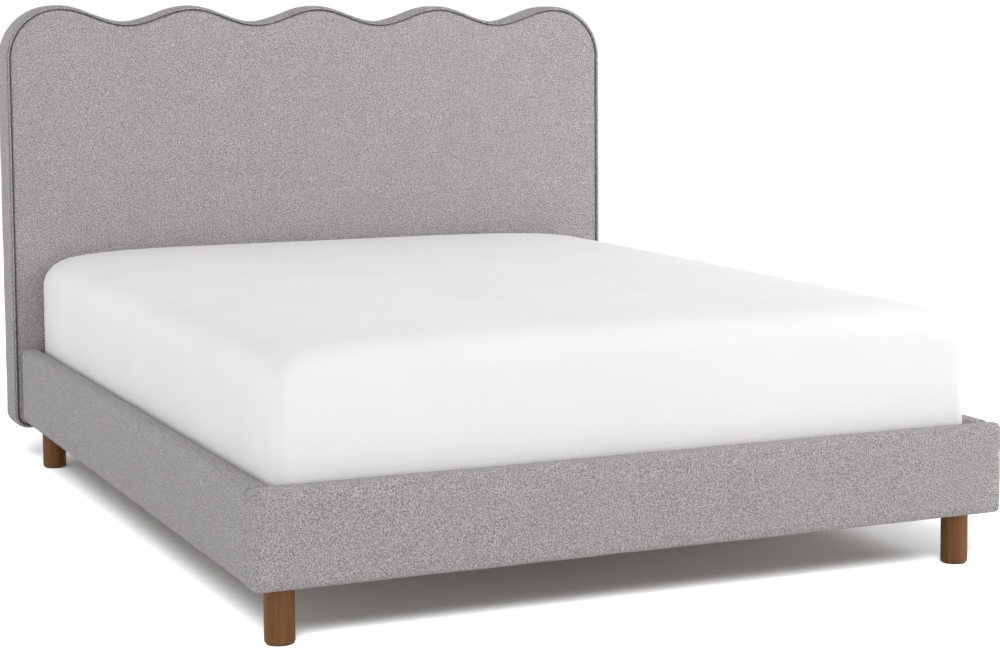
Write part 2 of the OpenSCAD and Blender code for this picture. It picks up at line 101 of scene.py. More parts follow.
def apply_modifiers(obj):
    mesh = evaluated_mesh(obj)
    obj.modifiers.clear()
    obj.data = mesh
    mesh.polygons.foreach_set("use_smooth", np.ones(len(mesh.polygons), bool))
    mesh.update()
    return obj


def weld(obj, distance):
    mod = obj.modifiers.new("weld", "WELD")
    mod.merge_threshold = distance
    return apply_modifiers(obj)


def subdivide(obj, levels=1):
    mod = obj.modifiers.new("subdivide", "SUBSURF")
    mod.levels = mod.render_levels = levels
    mod.boundary_smooth = "PRESERVE_CORNERS"
    return apply_modifiers(obj)


def thicken(obj, depth, offset):
    mod = obj.modifiers.new("thick", "SOLIDIFY")
    mod.thickness = depth
    mod.offset = offset
    mod.use_even_offset = False
    return apply_modifiers(obj)


def ripple(co, wavelength, seed, count=26):
    """Smooth seeded unevenness between about -1 and 1, with the given wavelength."""
    rng = np.random.default_rng(seed)
    total = np.zeros(len(co))
    for _ in range(count):
        d = rng.normal(size=3)
        d /= np.linalg.norm(d)
        k = 2 * math.pi / (wavelength * rng.uniform(0.7, 1.4))
        total += np.sin(co @ (d * k) + rng.uniform(0, 2 * math.pi))
    return total / math.sqrt(count) / 1.2


def uneven(obj, amount, wavelength, seed):
    """Move each point along its normal by a smooth seeded unevenness."""
    co = coords(obj)
    set_coords(obj, co + normals(obj) * (amount * ripple(co, wavelength, seed))[:, None])


def loft(rings, closed_path, close_ring=True):
    """Quads between rings of equal length. Returns vertices and faces."""
    n, m = len(rings), len(rings[0])
    verts = np.concatenate(rings)
    faces = []
    for i in range(n if closed_path else n - 1):
        a, b = i * m, ((i + 1) % n) * m
        for k in range(m if close_ring else m - 1):
            k2 = (k + 1) % m
            faces.append((a + k, a + k2, b + k2, b + k))
    return verts, faces


def merge(parts):
    """One list of vertices and faces from several."""
    verts, faces, base = [], [], 0
    for v, f in parts:
        verts.append(np.asarray(v, float))
        faces += [tuple(i + base for i in face) for face in f]
        base += len(v)
    return np.concatenate(verts), faces


# ---------------------------------------------------------------- padded bars (rails)


def bar_section(w, h, r, step, arc=5):
    """Points and outward normals round a w by h rectangle with corner radius r."""
    pts, nrm = [], []
    corners = [(1, 1, 0), (-1, 1, 90), (-1, -1, 180), (1, -1, 270)]
    for i, (sx, sy, a0) in enumerate(corners):
        cx, cy = sx * (w / 2 - r), sy * (h / 2 - r)
        for k in range(arc + 1):
            a = math.radians(a0 + 90 * k / arc)
            pts.append((cx + r * math.cos(a), cy + r * math.sin(a)))
            nrm.append((math.cos(a), math.sin(a)))
        a = math.radians(a0 + 90)
        nx, ny, _ = corners[(i + 1) % 4]
        end = (nx * (w / 2 - r) + r * math.cos(a), ny * (h / 2 - r) + r * math.sin(a))
        start = pts[-1]
        length = math.hypot(end[0] - start[0], end[1] - start[1])
        count = max(1, int(round(length / step)))
        for k in range(1, count):
            t = k / count
            pts.append((start[0] + (end[0] - start[0]) * t, start[1] + (end[1] - start[1]) * t))
            nrm.append((math.cos(a), math.sin(a)))
    return np.array(pts), np.array(nrm)


def bar(name, axis, lo, hi, centre, w, h, r, end_lo, end_hi, step, material):
    """Padded bar along axis (0 or 1) from lo to hi. w is its thickness, h its height.
    end_lo and end_hi give the rounding of each end from a section normal."""
    pts, nrm = bar_section(w, h, r, step)
    spine = np.stack([np.zeros(len(pts)), np.clip(pts[:, 1], -(h / 2 - w / 2), h / 2 - w / 2)], 1)

    def ring(p2, along):
        out = np.zeros((len(p2), 3))
        out[:, axis] = along
        out[:, 1 - axis] = centre[1 - axis] + p2[:, 0]
        out[:, 2] = centre[2] + p2[:, 1]
        return out

    def end_rings(place, sign, radius):
        rad = np.array([radius(n) for n in nrm])
        flat = pts - nrm * rad[:, None]
        rings = [ring(spine + (flat - spine) * t, np.full(len(pts), place)) for t in (0.0, 0.35, 0.7)]
        for phi in np.radians([0, 25, 50, 72]):
            inner = pts - nrm * (rad * (1 - math.sin(phi)))[:, None]
            rings.append(ring(inner, place + sign * rad * (1 - math.cos(phi))))
        return rings, rad.max()

    first, r0 = end_rings(lo, 1, end_lo)
    last, r1 = end_rings(hi, -1, end_hi)
    middle = [ring(pts, np.full(len(pts), s)) for s in span(lo + r0 + 1e-4, hi - r1 - 1e-4, step)]
    verts, faces = loft(first + middle + last[::-1], False)
    if axis == 1:
        faces = [f[::-1] for f in faces]
    return weld(new_object(name, verts, faces, material), 2e-5)


def swell(obj, cap, frames=16, pressure=4.0, inward=0.5 * MM):
    """Blow the closed mesh up a little as padded cloth. Each point moves out by no more than cap and in
    by no more than inward."""
    rest = coords(obj)
    mod = obj.modifiers.new("cloth", "CLOTH")
    settings = mod.settings
    settings.quality = 4
    settings.mass = 0.4
    settings.tension_stiffness = settings.compression_stiffness = 12
    settings.shear_stiffness = 6
    settings.bending_stiffness = 1.5
    settings.use_pressure = True
    settings.uniform_pressure_force = pressure
    settings.effector_weights.gravity = 0
    mod.collision_settings.use_collision = False
    mod.point_cache.frame_start, mod.point_cache.frame_end = 1, frames
    scene = bpy.context.scene
    for f in range(1, frames + 1):
        scene.frame_set(f)
    mesh = evaluated_mesh(obj)
    moved = np.empty(len(mesh.vertices) * 3, np.float32)
    mesh.vertices.foreach_get("co", moved)
    bpy.data.meshes.remove(mesh)
    obj.modifiers.clear()
    scene.frame_set(1)
    shift = moved.reshape(-1, 3).astype(float) - rest
    size = np.linalg.norm(shift, axis=1)
    nrm = normals(obj)
    limit = np.where(np.sum(shift * nrm, axis=1) < 0, inward, cap(nrm))
    keep = np.where(size > STILL, np.minimum(1.0, limit / np.maximum(size, STILL)), 0.0)
    set_coords(obj, rest + shift * keep[:, None])


# ---------------------------------------------------------------- node materials


class Nodes:
    """A node material being built: each call adds one node and returns its output."""

    def __init__(self, name):
        self.material = bpy.data.materials.new(name)
        self.material.use_nodes = True
        self.tree = self.material.node_tree
        self.tree.nodes.clear()
        self.out = self.tree.nodes.new("ShaderNodeOutputMaterial")
        self.shader = self.tree.nodes.new("ShaderNodeBsdfPrincipled")
        self.tree.links.new(self.shader.outputs[0], self.out.inputs[0])
        self.place = self.tree.nodes.new("ShaderNodeTexCoord").outputs["Object"]

    def link(self, value, socket):
        if hasattr(value, "links"):
            self.tree.links.new(value, socket)
        else:
            socket.default_value = value

    def set(self, **values):
        for key, value in values.items():
            self.link(value, self.shader.inputs[key.replace("_", " ")])
        return self

    def scaled(self, scale, source=None, rotation=(0, 0, 0)):
        node = self.tree.nodes.new("ShaderNodeMapping")
        node.inputs["Scale"].default_value = scale
        node.inputs["Rotation"].default_value = rotation
        self.tree.links.new(source or self.place, node.inputs["Vector"])
        return node.outputs[0]

    def noise(self, scale, detail=2.0, roughness=0.5, vector=None, distortion=0.0):
        node = self.tree.nodes.new("ShaderNodeTexNoise")
        self.tree.links.new(vector or self.place, node.inputs["Vector"])
        node.inputs["Scale"].default_value = scale
        node.inputs["Detail"].default_value = detail
        node.inputs["Roughness"].default_value = roughness
        node.inputs["Distortion"].default_value = distortion
        return node.outputs[0]

    def cells(self, scale, vector=None, smooth=0.6, feature="SMOOTH_F1", randomness=1.0):
        node = self.tree.nodes.new("ShaderNodeTexVoronoi")
        node.feature = feature
        self.tree.links.new(vector or self.place, node.inputs["Vector"])
        node.inputs["Scale"].default_value = scale
        node.inputs["Randomness"].default_value = randomness
        if feature == "SMOOTH_F1":
            node.inputs["Smoothness"].default_value = smooth
        return node.outputs["Distance"]

    def bands(self, scale, axis="X", distortion=0.0, vector=None, detail=2.0, detail_scale=1.0,
              profile="SIN"):
        node = self.tree.nodes.new("ShaderNodeTexWave")
        node.bands_direction = axis
        node.wave_profile = profile
        self.tree.links.new(vector or self.place, node.inputs["Vector"])
        node.inputs["Scale"].default_value = scale
        node.inputs["Distortion"].default_value = distortion
        node.inputs["Detail"].default_value = detail
        node.inputs["Detail Scale"].default_value = detail_scale
        return node.outputs["Fac"]

    def math(self, kind, a, b=0.5, clamp=False):
        node = self.tree.nodes.new("ShaderNodeMath")
        node.operation = kind
        node.use_clamp = clamp
        self.link(a, node.inputs[0])
        self.link(b, node.inputs[1])
        return node.outputs[0]

    def remap(self, value, lo, hi, to_lo=0.0, to_hi=1.0):
        node = self.tree.nodes.new("ShaderNodeMapRange")
        self.link(value, node.inputs["Value"])
        node.inputs["From Min"].default_value = lo
        node.inputs["From Max"].default_value = hi
        node.inputs["To Min"].default_value = to_lo
        node.inputs["To Max"].default_value = to_hi
        return node.outputs[0]

    def mix(self, fac, a, b):
        node = self.tree.nodes.new("ShaderNodeMix")
        node.data_type = "RGBA"
        self.link(fac, node.inputs[0])
        self.link(a, node.inputs[6])
        self.link(b, node.inputs[7])
        return node.outputs[2]

    def bump(self, height, distance, strength=1.0, normal=None):
        node = self.tree.nodes.new("ShaderNodeBump")
        node.inputs["Strength"].default_value = strength
        node.inputs["Distance"].default_value = distance
        self.link(height, node.inputs["Height"])
        if normal is not None:
            self.tree.links.new(normal, node.inputs["Normal"])
        return node.outputs[0]


def rgb(r, g, b):
    return (r, g, b, 1.0)


def make_upholstery():
    """Fine boucle: small knots of yarn about 4 mm apart, lighter on top, with painted shade darkening the
    colour between them.
    """
    m = Nodes("upholstery")
    knots = m.noise(430.0, 1.0, 0.5, distortion=0.6)
    cells = m.cells(350.0, feature="F1", randomness=0.9)
    patches = m.noise(9.0, 3.0, 0.55)
    height = m.math("SUBTRACT", m.remap(knots, 0.25, 0.75), m.remap(cells, 0.0, 0.9, 0.0, 0.55))
    # top is 1 on the knots' tops and falls to 0 between them, where painted shade is mixed into the colour
    top = m.remap(height, -0.08, 0.48)
    light = m.mix(m.remap(patches, 0.35, 0.65), rgb(0.732, 0.692, 0.698), rgb(0.758, 0.718, 0.726))
    # Painted shade: this dark grey stands for the shade between the knots, not for a yarn colour
    painted_crevice_shade = rgb(0.290, 0.272, 0.274)
    m.set(Base_Color=m.mix(m.math("MULTIPLY", top, 1.0, clamp=True), painted_crevice_shade, light), Roughness=0.95)
    m.set(Specular_IOR_Level=0.15, Sheen_Weight=0.2, Sheen_Roughness=0.5, Normal=m.bump(height, 0.003, 1.0))
    return m.material


def make_sheet():
    m = Nodes("sheet_cotton")
    weave = m.math("MULTIPLY", m.bands(900.0, "X"), m.bands(900.0, "Y"))
    folds = m.noise(5.0, 2.0, 0.5)
    tint = m.mix(m.remap(folds, 0.3, 0.7), rgb(0.86, 0.86, 0.845), rgb(0.885, 0.885, 0.875))
    m.set(Base_Color=tint, Roughness=0.85, Specular_IOR_Level=0.2, Sheen_Weight=0.15, Sheen_Roughness=0.4)
    first = m.bump(folds, 0.004, 0.25)
    m.set(Normal=m.bump(weave, 0.0001, 0.35, first))
    return m.material


def make_ticking():
    m = Nodes("mattress_ticking")
    quilt = m.cells(16.0, smooth=0.8)
    knit = m.math("MULTIPLY", m.bands(420.0, "X"), m.bands(420.0, "Y"))
    tint = m.mix(knit, rgb(0.80, 0.80, 0.78), rgb(0.90, 0.90, 0.88))
    m.set(Base_Color=tint, Roughness=0.9, Specular_IOR_Level=0.2, Sheen_Weight=0.2)
    first = m.bump(quilt, 0.004, 0.5)
    m.set(Normal=m.bump(knit, 0.0003, 0.5, first))
    return m.material


def make_dust_cloth():
    m = Nodes("dust_cloth")
    fibres = m.noise(320.0, 4.0, 0.65)
    dots = m.cells(520.0, smooth=0.2)
    tint = m.mix(fibres, rgb(0.022, 0.022, 0.024), rgb(0.06, 0.06, 0.065))
    m.set(Base_Color=tint, Roughness=0.9, Specular_IOR_Level=0.2)
    m.set(Normal=m.bump(m.math("ADD", dots, fibres), 0.0004, 0.6))
    return m.material


def make_foam():
    m = Nodes("foam")
    pores = m.cells(900.0, smooth=0.3)
    big = m.noise(240.0, 3.0, 0.6)
    tint = m.mix(m.remap(pores, 0.1, 0.7), rgb(0.86, 0.78, 0.55), rgb(0.62, 0.53, 0.33))
    m.set(Base_Color=tint, Roughness=0.95, Specular_IOR_Level=0.15)
    m.set(Normal=m.bump(m.math("ADD", pores, big), 0.0008, 0.8))
    return m.material


def make_felt():
    m = Nodes("felt")
    fibres = m.noise(1400.0, 5.0, 0.7, distortion=1.5)
    tint = m.mix(fibres, rgb(0.12, 0.085, 0.06), rgb(0.32, 0.25, 0.19))
    m.set(Base_Color=tint, Roughness=1.0, Specular_IOR_Level=0.1, Sheen_Weight=0.3)
    m.set(Normal=m.bump(fibres, 0.0006, 0.9))
    return m.material


def make_webbing():
    m = Nodes("webbing")
    ribs = m.bands(260.0, "Y", 0.2)
    threads = m.bands(420.0, "X", 0.2)
    tint = m.mix(m.math("MULTIPLY", ribs, threads), rgb(0.50, 0.48, 0.43), rgb(0.80, 0.78, 0.72))
    m.set(Base_Color=tint, Roughness=0.9, Specular_IOR_Level=0.2)
    m.set(Normal=m.bump(ribs, 0.0004, 0.8))
    return m.material


def make_walnut():
    """Stained hardwood with its grain up the leg."""
    m = Nodes("walnut")
    grain = m.noise(1.0, 5.0, 0.62, m.scaled((60.0, 60.0, 4.0)), 1.2)
    pores = m.noise(1.0, 3.0, 0.6, m.scaled((700.0, 700.0, 22.0)))
    figure = m.bands(9.0, "X", 7.0, m.scaled((1.0, 1.0, 0.12)), 3.0, 1.2)
    tint = m.mix(m.remap(grain, 0.32, 0.68), rgb(0.136, 0.052, 0.015), rgb(0.234, 0.100, 0.032))
    tint = m.mix(m.math("MULTIPLY", figure, 0.30), tint, rgb(0.285, 0.125, 0.043))
    tint = m.mix(m.remap(pores, 0.60, 0.72, 0.0, 0.50), tint, rgb(0.06, 0.022, 0.008))
    m.set(Base_Color=tint, Roughness=m.remap(grain, 0.2, 0.8, 0.50, 0.65), Specular_IOR_Level=0.3)
    m.set(Normal=m.bump(pores, 0.0002, 0.35))
    return m.material


def make_softwood(name, along):
    """Plain pale timber with its grain along one axis."""
    m = Nodes(name)

    def stretched(across_scale, along_scale):
        return m.scaled(tuple(along_scale if axis == along else across_scale for axis in "XYZ"))

    grain = m.noise(1.0, 4.0, 0.6, stretched(42.0, 1.6), 1.0)
    rings = m.bands(14.0, "Y" if along == "X" else "X", 5.0, stretched(1.0, 0.08), 2.0, 1.0)
    fibre = m.noise(1.0, 3.0, 0.7, stretched(42.0 * 16, 1.6 * 16))
    tint = m.mix(m.remap(grain, 0.3, 0.7), rgb(0.56, 0.46, 0.34), rgb(0.68, 0.59, 0.46))
    tint = m.mix(m.math("MULTIPLY", rings, 0.35), tint, rgb(0.46, 0.36, 0.24))
    m.set(Base_Color=tint, Roughness=m.remap(fibre, 0.2, 0.8, 0.55, 0.75))
    m.set(Normal=m.bump(fibre, 0.0003, 0.4))
    return m.material


def make_plywood():
    m = Nodes("plywood")
    plies = m.bands(380.0, "Y", 0.3, profile="TRI")
    grain = m.noise(1.0, 4.0, 0.6, m.scaled((3.0, 40.0, 45.0)), 1.0)
    tint = m.mix(m.remap(grain, 0.3, 0.7), rgb(0.58, 0.41, 0.25), rgb(0.76, 0.60, 0.40))
    tint = m.mix(m.math("MULTIPLY", plies, 0.5), tint, rgb(0.42, 0.27, 0.15))
    m.set(Base_Color=tint, Roughness=0.7)
    m.set(Normal=m.bump(grain, 0.0003, 0.4))
    return m.material


def make_black_steel():
    m = Nodes("black_steel")
    peel = m.noise(900.0, 3.0, 0.55)
    worn = m.noise(60.0, 4.0, 0.6)
    tint = m.mix(m.remap(worn, 0.4, 0.75), rgb(0.020, 0.020, 0.022), rgb(0.050, 0.050, 0.054))
    m.set(Base_Color=tint, Roughness=m.remap(worn, 0.2, 0.8, 0.42, 0.60), Specular_IOR_Level=0.5)
    m.set(Normal=m.bump(peel, 0.0002, 0.6))
    return m.material


def make_zinc():
    m = Nodes("zinc_steel")
    spangle = m.cells(420.0, smooth=0.1)
    scratch = m.noise(1.0, 3.0, 0.7, m.scaled((120.0, 900.0, 900.0)))
    tint = m.mix(spangle, rgb(0.48, 0.49, 0.51), rgb(0.70, 0.71, 0.73))
    m.set(Base_Color=tint, Metallic=1.0, Roughness=m.remap(scratch, 0.2, 0.8, 0.26, 0.44))
    m.set(Normal=m.bump(scratch, 0.0001, 0.4))
    return m.material


def make_plastic():
    m = Nodes("black_plastic")
    grain = m.cells(1500.0, smooth=0.3)
    worn = m.noise(90.0, 3.0, 0.6)
    tint = m.mix(worn, rgb(0.016, 0.016, 0.017), rgb(0.034, 0.034, 0.036))
    m.set(Base_Color=tint, Roughness=m.remap(worn, 0.2, 0.8, 0.45, 0.6))
    m.set(Normal=m.bump(grain, 0.00015, 0.5))
    return m.material


UPHOLSTERY, SHEET, TICKING = make_upholstery(), make_sheet(), make_ticking()
DUST, FOAM, FELT, WEBBING = make_dust_cloth(), make_foam(), make_felt(), make_webbing()
WALNUT, PLYWOOD = make_walnut(), make_plywood()
WOOD_X, WOOD_Y = make_softwood("softwood_across", "X"), make_softwood("softwood_along", "Y")
BLACK_STEEL, ZINC, PLASTIC = make_black_steel(), make_zinc(), make_plastic()

SLOT_MATERIAL = {
    "walnut": WALNUT, "plywood": PLYWOOD, "black_steel": BLACK_STEEL,
    "zinc_steel": ZINC, "black_plastic": PLASTIC, "foam": FOAM, "felt": FELT, "webbing": WEBBING,
    "upholstery": UPHOLSTERY, "dust_cloth": DUST, "sheet_cotton": SHEET, "mattress_ticking": TICKING,
}
ALONG_Y = ("ledger", "beam", "left_rail_board", "right_rail_board")
for part in frame["record"]["subparts"]:
    node, slot = part["node"], part["material_slot"]
    if slot == "softwood":
        material = WOOD_Y if any(word in node for word in ALONG_Y) else WOOD_X
    else:
        material = SLOT_MATERIAL[slot]
    mesh = NODES[node].data
    mesh.materials.clear()
    mesh.materials.append(material)


def finish_piece(obj, body, slot, *replaced):
    """Say which body a piece moves with, and the CAD nodes that it stands for, which are hidden. slot is
    not used.
    """
    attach(obj, body)
    if replaced:
        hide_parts(*replaced)
    return obj


# ---------------------------------------------------------------- headboard

pipe_lo, pipe_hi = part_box("headboard_piping")
PIPE_R = 2.5 * MM
HALF_W = pipe_hi.x - PIPE_R
SEAM_LOW = pipe_lo.z + PIPE_R
CREST_Z = pipe_hi.z - PIPE_R
HEAD_Y, BACK_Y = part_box("headboard_face_cover")[0].y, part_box("headboard_boxing_band")[1].y
CORNER_R, FOOT_R, WAVE_DEPTH, CRESTS = 134 * MM, 28 * MM, 42 * MM, 5
CREST_X = HALF_W - CORNER_R
WAVE_L = 2 * CREST_X / (CRESTS - 1)


def wave_z(x):
    """Height of the seam's wavy top, which has a crest at each end."""
    return CREST_Z - WAVE_DEPTH / 2 * (1 - np.cos(2 * math.pi * (CREST_X - x) / WAVE_L))


def wave_slope(x):
    return -WAVE_DEPTH / 2 * 2 * math.pi / WAVE_L * np.sin(2 * math.pi * (CREST_X - x) / WAVE_L)


def seam_line(step):
    """Points (x, z) and outward normals round the headboard's seam, anticlockwise from the lower right."""
    pts, nrm = [], []

    def arc(cx, cz, r, a0, a1):
        for a in np.radians(span(a0, a1, math.degrees(step / r)))[:-1]:
            pts.append((cx + r * math.cos(a), cz + r * math.sin(a)))
            nrm.append((math.cos(a), math.sin(a)))

    def line(a, b, n):
        for t in span(0, math.dist(a, b), step)[:-1] / math.dist(a, b):
            pts.append((a[0] + (b[0] - a[0]) * t, a[1] + (b[1] - a[1]) * t))
            nrm.append(n)

    low_z, high_z, low_x = SEAM_LOW + FOOT_R, CREST_Z - CORNER_R, HALF_W - FOOT_R
    arc(low_x, low_z, FOOT_R, -90, 0)
    line((HALF_W, low_z), (HALF_W, high_z), (1, 0))
    arc(CREST_X, high_z, CORNER_R, 0, 90)
    for x in span(CREST_X, -CREST_X, step)[:-1]:
        slope = float(wave_slope(x))
        size = math.hypot(1, slope)
        pts.append((x, float(wave_z(x))))
        nrm.append((-slope / size, 1 / size))
    arc(-CREST_X, high_z, CORNER_R, 90, 180)
    line((-HALF_W, high_z), (-HALF_W, low_z), (-1, 0))
    arc(-low_x, low_z, FOOT_R, 180, 270)
    line((-low_x, SEAM_LOW), (low_x, SEAM_LOW), (0, -1))
    return np.array(pts), np.array(nrm)


def seam_loft(name, profile, step, material):
    """A closed profile of (outward, y) points swept round the seam."""
    pts, nrm = seam_line(step)
    rings = []
    for p, n in zip(pts, nrm):
        rings.append([(p[0] + n[0] * g, y, p[1] + n[1] * g) for g, y in profile])
    verts, faces = loft([np.array(r) for r in rings], True)
    return new_object(name, verts, faces, material)


def edge_lines(length, fine, step):
    """Values from 0 to 1: fine steps (in metres) near both ends, even steps between."""
    steps = np.array(fine)
    middle = span(steps[-1], length - steps[-1], step)[1:-1]
    return np.concatenate([steps, middle, (length - steps)[::-1]]) / length


def face_sheet(name, inset, step, fine, depth_at, material):
    """Grid that fills the seam outline drawn in by inset. depth_at gives y from the distance inside
    the seam, and fine lists the grid's first steps from each edge."""
    high_z, low_z, low_x = CREST_Z - CORNER_R, SEAM_LOW + FOOT_R, HALF_W - FOOT_R
    top_r, foot_r, k = CORNER_R - inset, FOOT_R - inset, math.sqrt(0.5)
    top_x, top_z = CREST_X + top_r * k, high_z + top_r * k
    foot_x, foot_z = low_x + foot_r * k, low_z - foot_r * k
    dense = span(-CREST_X, CREST_X, 1 * MM)
    slopes = wave_slope(dense)
    size = np.hypot(1, slopes)
    wave_x = dense + inset * slopes / size
    wave_h = wave_z(dense) - inset / size

    def top(u):
        x = -top_x + 2 * top_x * u
        side = np.abs(x) > CREST_X
        arc_h = high_z + np.sqrt(np.maximum(top_r**2 - np.maximum(np.abs(x) - CREST_X, 0) ** 2, 0))
        return x, np.where(side, arc_h, np.interp(x, wave_x, wave_h))

    def bottom(u):
        x = -foot_x + 2 * foot_x * u
        side = np.abs(x) > low_x
        arc_h = low_z - np.sqrt(np.maximum(foot_r**2 - np.maximum(np.abs(x) - low_x, 0) ** 2, 0))
        return x, np.where(side, arc_h, SEAM_LOW + inset)

    def flank(v):
        z = foot_z + (top_z - foot_z) * v
        upper = CREST_X + np.sqrt(np.maximum(top_r**2 - np.maximum(z - high_z, 0) ** 2, 0))
        lower = low_x + np.sqrt(np.maximum(foot_r**2 - np.maximum(low_z - z, 0) ** 2, 0))
        x = np.where(z > high_z, upper, np.where(z < low_z, lower, HALF_W - inset))
        return x, z

    us = edge_lines(2 * HALF_W, fine, step)
    vs = edge_lines(CREST_Z - SEAM_LOW, fine, step)
    u, v = np.meshgrid(us, vs)
    tx, tz = top(u)
    bx, bz = bottom(u)
    fx, fz = flank(v)
    x = (1 - v) * bx + v * tx + (1 - u) * -fx + u * fx
    z = (1 - v) * bz + v * tz + (1 - u) * fz + u * fz
    x -= (1 - v) * ((1 - u) * -foot_x + u * foot_x) + v * ((1 - u) * -top_x + u * top_x)
    z -= (1 - v) * foot_z + v * top_z
    seam, _ = seam_line(1 * MM)
    tree = KDTree(len(seam))
    for i, p in enumerate(seam):
        tree.insert((p[0], p[1], 0), i)
    tree.balance()
    flat_x, flat_z = x.ravel(), z.ravel()
    far = 60 * MM
    inside = np.full(flat_x.shape, far)
    near = (np.abs(flat_x) > CREST_X - far) | (flat_z < SEAM_LOW + far)
    near |= flat_z > CREST_Z - WAVE_DEPTH - far
    for i in np.nonzero(near)[0]:
        inside[i] = tree.find((flat_x[i], flat_z[i], 0))[2]
    y = depth_at(inside)
    verts = np.stack([flat_x, y, flat_z], 1)
    rows, cols = u.shape
    faces = [(r * cols + c, r * cols + c + 1, (r + 1) * cols + c + 1, (r + 1) * cols + c)
             for r in range(rows - 1) for c in range(cols - 1)]
    return new_object(name, verts, faces, material)


CREASE_IN, CREASE_DEEP = 4.4 * MM, 11 * MM
FACE_ROLL, ROLL_WIDTH, TURN_WIDTH = 1.6 * MM, 16 * MM, 4.5 * MM


def face_depth(d):
    """The face is flat, rolls back near its edge, and turns into the crease beside the piping."""
    roll = FACE_ROLL * np.clip(1 - (d - CREASE_IN) / ROLL_WIDTH, 0, 1) ** 2
    turn = np.clip(1 - (d - CREASE_IN) / TURN_WIDTH, 0, 1)
    return HEAD_Y + 0.3 * MM + roll + CREASE_DEEP * (1 - np.sqrt(np.clip(1 - turn**2.2, 0, 1)))


FACE_STEPS = [0, 0.0006, 0.0013, 0.0022, 0.0034, 0.0052, 0.008, 0.012, 0.017, 0.023]
face = face_sheet("headboard_face_fabric", CREASE_IN, 7 * MM, FACE_STEPS, face_depth, UPHOLSTERY)
co = coords(face)
swing = 0.22 * MM * (ripple(co, 46 * MM, 11) + 0.8 * ripple(co, 210 * MM, 12))
co[:, 1] += np.where(co[:, 1] < HEAD_Y + 1.2 * MM, np.abs(swing), 0)
set_coords(face, co)
thicken(face, 1.2 * MM, -1.0)
finish_piece(face, BED, "upholstery", "headboard_face_cover")

CORD_R, CORD_OUT, CORD_BACK, CORD_SIDES = 2.3 * MM, 0.5 * MM, 1.2 * MM, 12
circle = [(CORD_OUT + CORD_R * math.cos(a), HEAD_Y + CORD_BACK + CORD_R * math.sin(a))
          for a in np.linspace(0, 2 * math.pi, CORD_SIDES + 1)[:-1]]
piping = seam_loft("headboard_piping_cord", circle, 5 * MM, UPHOLSTERY)
uneven(piping, 0.12 * MM, 14 * MM, 21)
finish_piece(piping, BED, "upholstery", "headboard_piping")

# The band's section in mm, outward from the seam and back from the face: from inside the crease, over the
# padded edge, and onto the back
BAND_OUT = [(-5.4, 11.8), (-1.0, 9.4), (1.8, 6.4), (2.9, 3.4), (3.6, 2.2), (4.6, 2.6), (5.6, 5.2),
            (6.5, 11), (7.2, 20), (7.7, 34), (7.9, 50), (7.9, 66), (7.7, 82), (7.3, 95), (6.8, 102),
            (5.9, 107), (4.3, 110), (2.0, 111.5), (-2, 111.8), (-12, 111.8), (-24, 111.8)]
BAND_T = 1.1
band_profile = [(g * MM, HEAD_Y + y * MM) for g, y in BAND_OUT]
inner = []
for i, (g, y) in enumerate(BAND_OUT):
    a, b = BAND_OUT[max(i - 1, 0)], BAND_OUT[min(i + 1, len(BAND_OUT) - 1)]
    dg, dy = b[0] - a[0], b[1] - a[1]
    size = math.hypot(dg, dy)
    inner.append(((g - BAND_T * dy / size) * MM, HEAD_Y + (y + BAND_T * dg / size) * MM))
band = seam_loft("headboard_boxing_fabric", band_profile + inner[::-1], 8 * MM, UPHOLSTERY)
co = coords(band)
bulge = 0.35 * MM * ripple(co, 90 * MM, 31)
outside = (co[:, 1] > HEAD_Y + 8 * MM) & (co[:, 1] < BACK_Y - 4 * MM)
set_coords(band, co + normals(band) * np.where(outside, bulge, 0)[:, None])
finish_piece(band, BED, "upholstery", "headboard_boxing_band")

FOAM_IN = 9 * MM


def foam_depth(d):
    """The face's padding is flat, and rolls back near its edge like the fabric over it."""
    return HEAD_Y + 2.2 * MM + 2 * MM * np.clip(1 - (d - FOAM_IN) / (14 * MM), 0, 1) ** 2


face_foam = face_sheet("headboard_face_padding", FOAM_IN, 22 * MM, [0, 0.004, 0.012], foam_depth, FOAM)
thicken(face_foam, 17 * MM, -1.0)
uneven(face_foam, 0.15 * MM, 30 * MM, 41)
finish_piece(face_foam, BED, "foam", "headboard_face_foam")

EDGE_FOAM = [(-1.5, 13.2), (1.5, 12.6), (4.2, 15), (5.8, 24), (6.4, 40), (5.8, 62), (4.6, 82),
             (3.0, 98), (1.4, 106), (-1, 109), (-7.6, 109), (-7.6, 60), (-7.6, 23), (-7.0, 12)]
edge_profile = [(g * MM, HEAD_Y + y * MM) for g, y in EDGE_FOAM]
edge_foam = seam_loft("headboard_edge_padding", edge_profile, 14 * MM, FOAM)
finish_piece(edge_foam, BED, "foam", "headboard_edge_foam")


def staple(centre, across, out, width=11 * MM, wire=0.6 * MM):
    """A staple's crown: a flat bar with its ends turned down."""
    across, out = np.array(across, float), np.array(out, float)
    third = np.cross(across, out)
    half_line = [(-width / 2, -0.6 * MM), (-width / 2, 0.35 * MM), (-width / 2 + 0.5 * MM, 0.7 * MM)]
    line = half_line + [(-a, o) for a, o in half_line[::-1]]
    corners = ((1, 1), (-1, 1), (-1, -1), (1, -1))
    rings = []
    for i, (a, o) in enumerate(line):
        p, q = line[max(i - 1, 0)], line[min(i + 1, len(line) - 1)]
        d = np.array([q[0] - p[0], q[1] - p[1]])
        d /= np.linalg.norm(d)
        side = across * -d[1] + out * d[0]
        c = np.array(centre) + across * a + out * o
        rings.append(np.array([c + side * sx * wire / 2 + third * sy * wire for sx, sy in corners]))
    verts, faces = loft(rings, False)
    last = len(verts)
    return verts, faces + [(0, 1, 2, 3), (last - 1, last - 2, last - 3, last - 4)]


